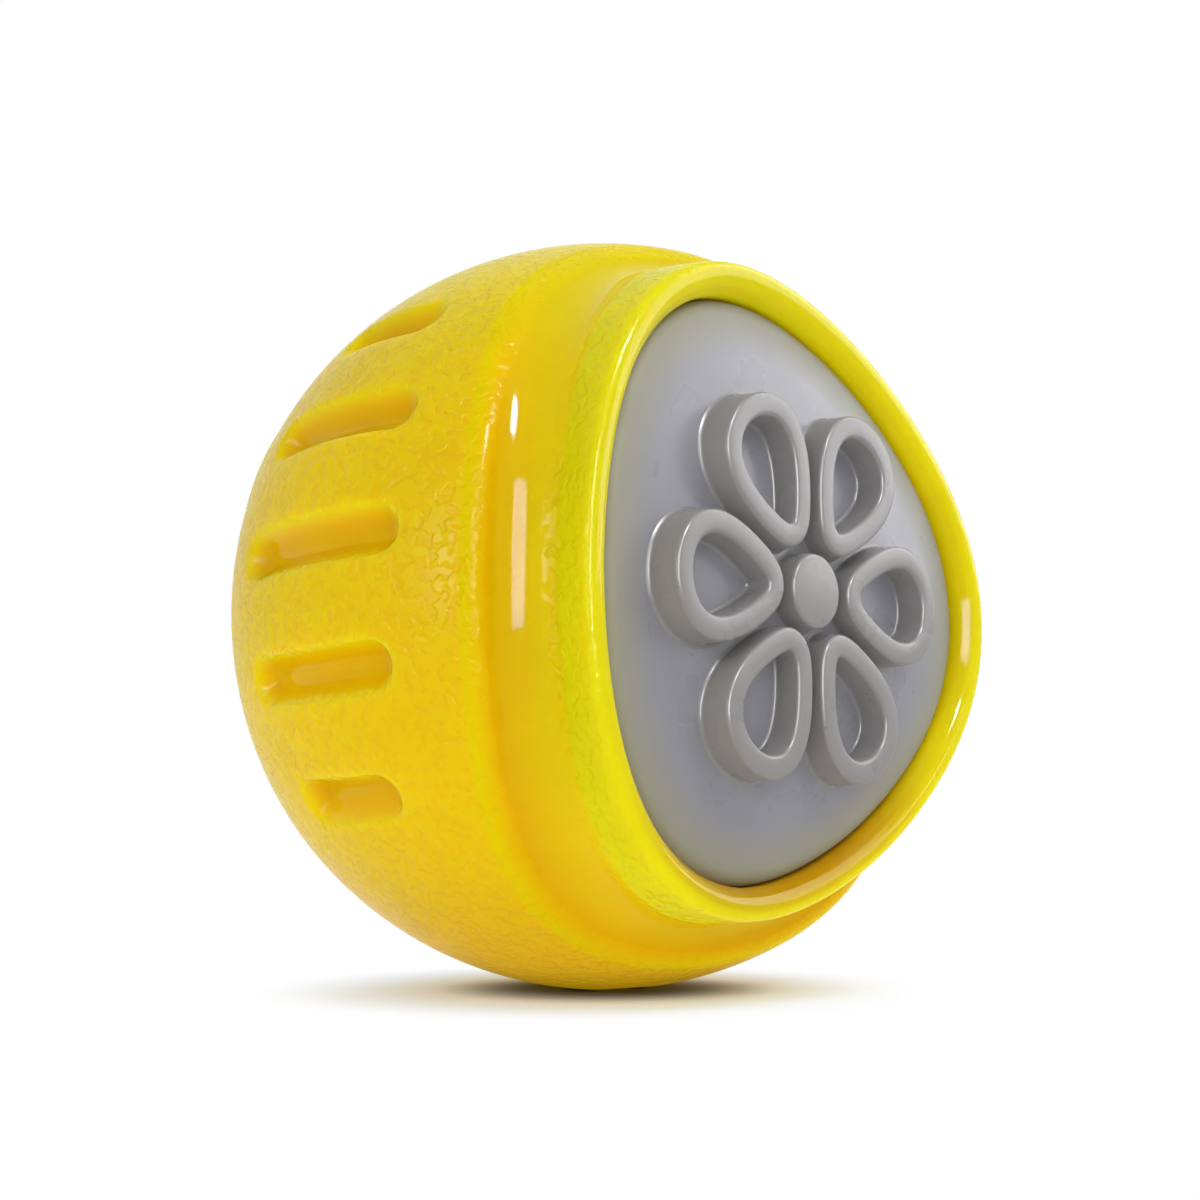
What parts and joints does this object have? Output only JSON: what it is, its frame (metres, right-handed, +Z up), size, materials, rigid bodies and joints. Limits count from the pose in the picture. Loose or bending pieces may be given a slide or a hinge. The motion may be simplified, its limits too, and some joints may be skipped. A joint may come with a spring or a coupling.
{
  "type": "dog ball",
  "caption": "Dog fetch ball: a yellow rubber jacket with grip slots around its belt, and a raised ring at each end around the flat grey crown of a hollow rubber core with a petal relief.",
  "frame": {"origin": "centre of the ball, which is the centre of its bounding box", "axes": "+Y along the cap axis, away from the front cap; +Z straight up as the ball lies on its belt; +X completes a right-handed frame"},
  "size_m": [0.064, 0.047, 0.0639],
  "materials": {
    "yellow_rubber": "fine leather grain on the belt, gloss in the grooves and slots",
    "grey_rubber_front": "smooth gloss",
    "grey_rubber_rear": "smooth gloss"
  },
  "bodies": {
    "root": {"jacket": "yellow_rubber", "core_front": "grey_rubber_front", "core_rear": "grey_rubber_rear"}
  },
  "joints": []
}
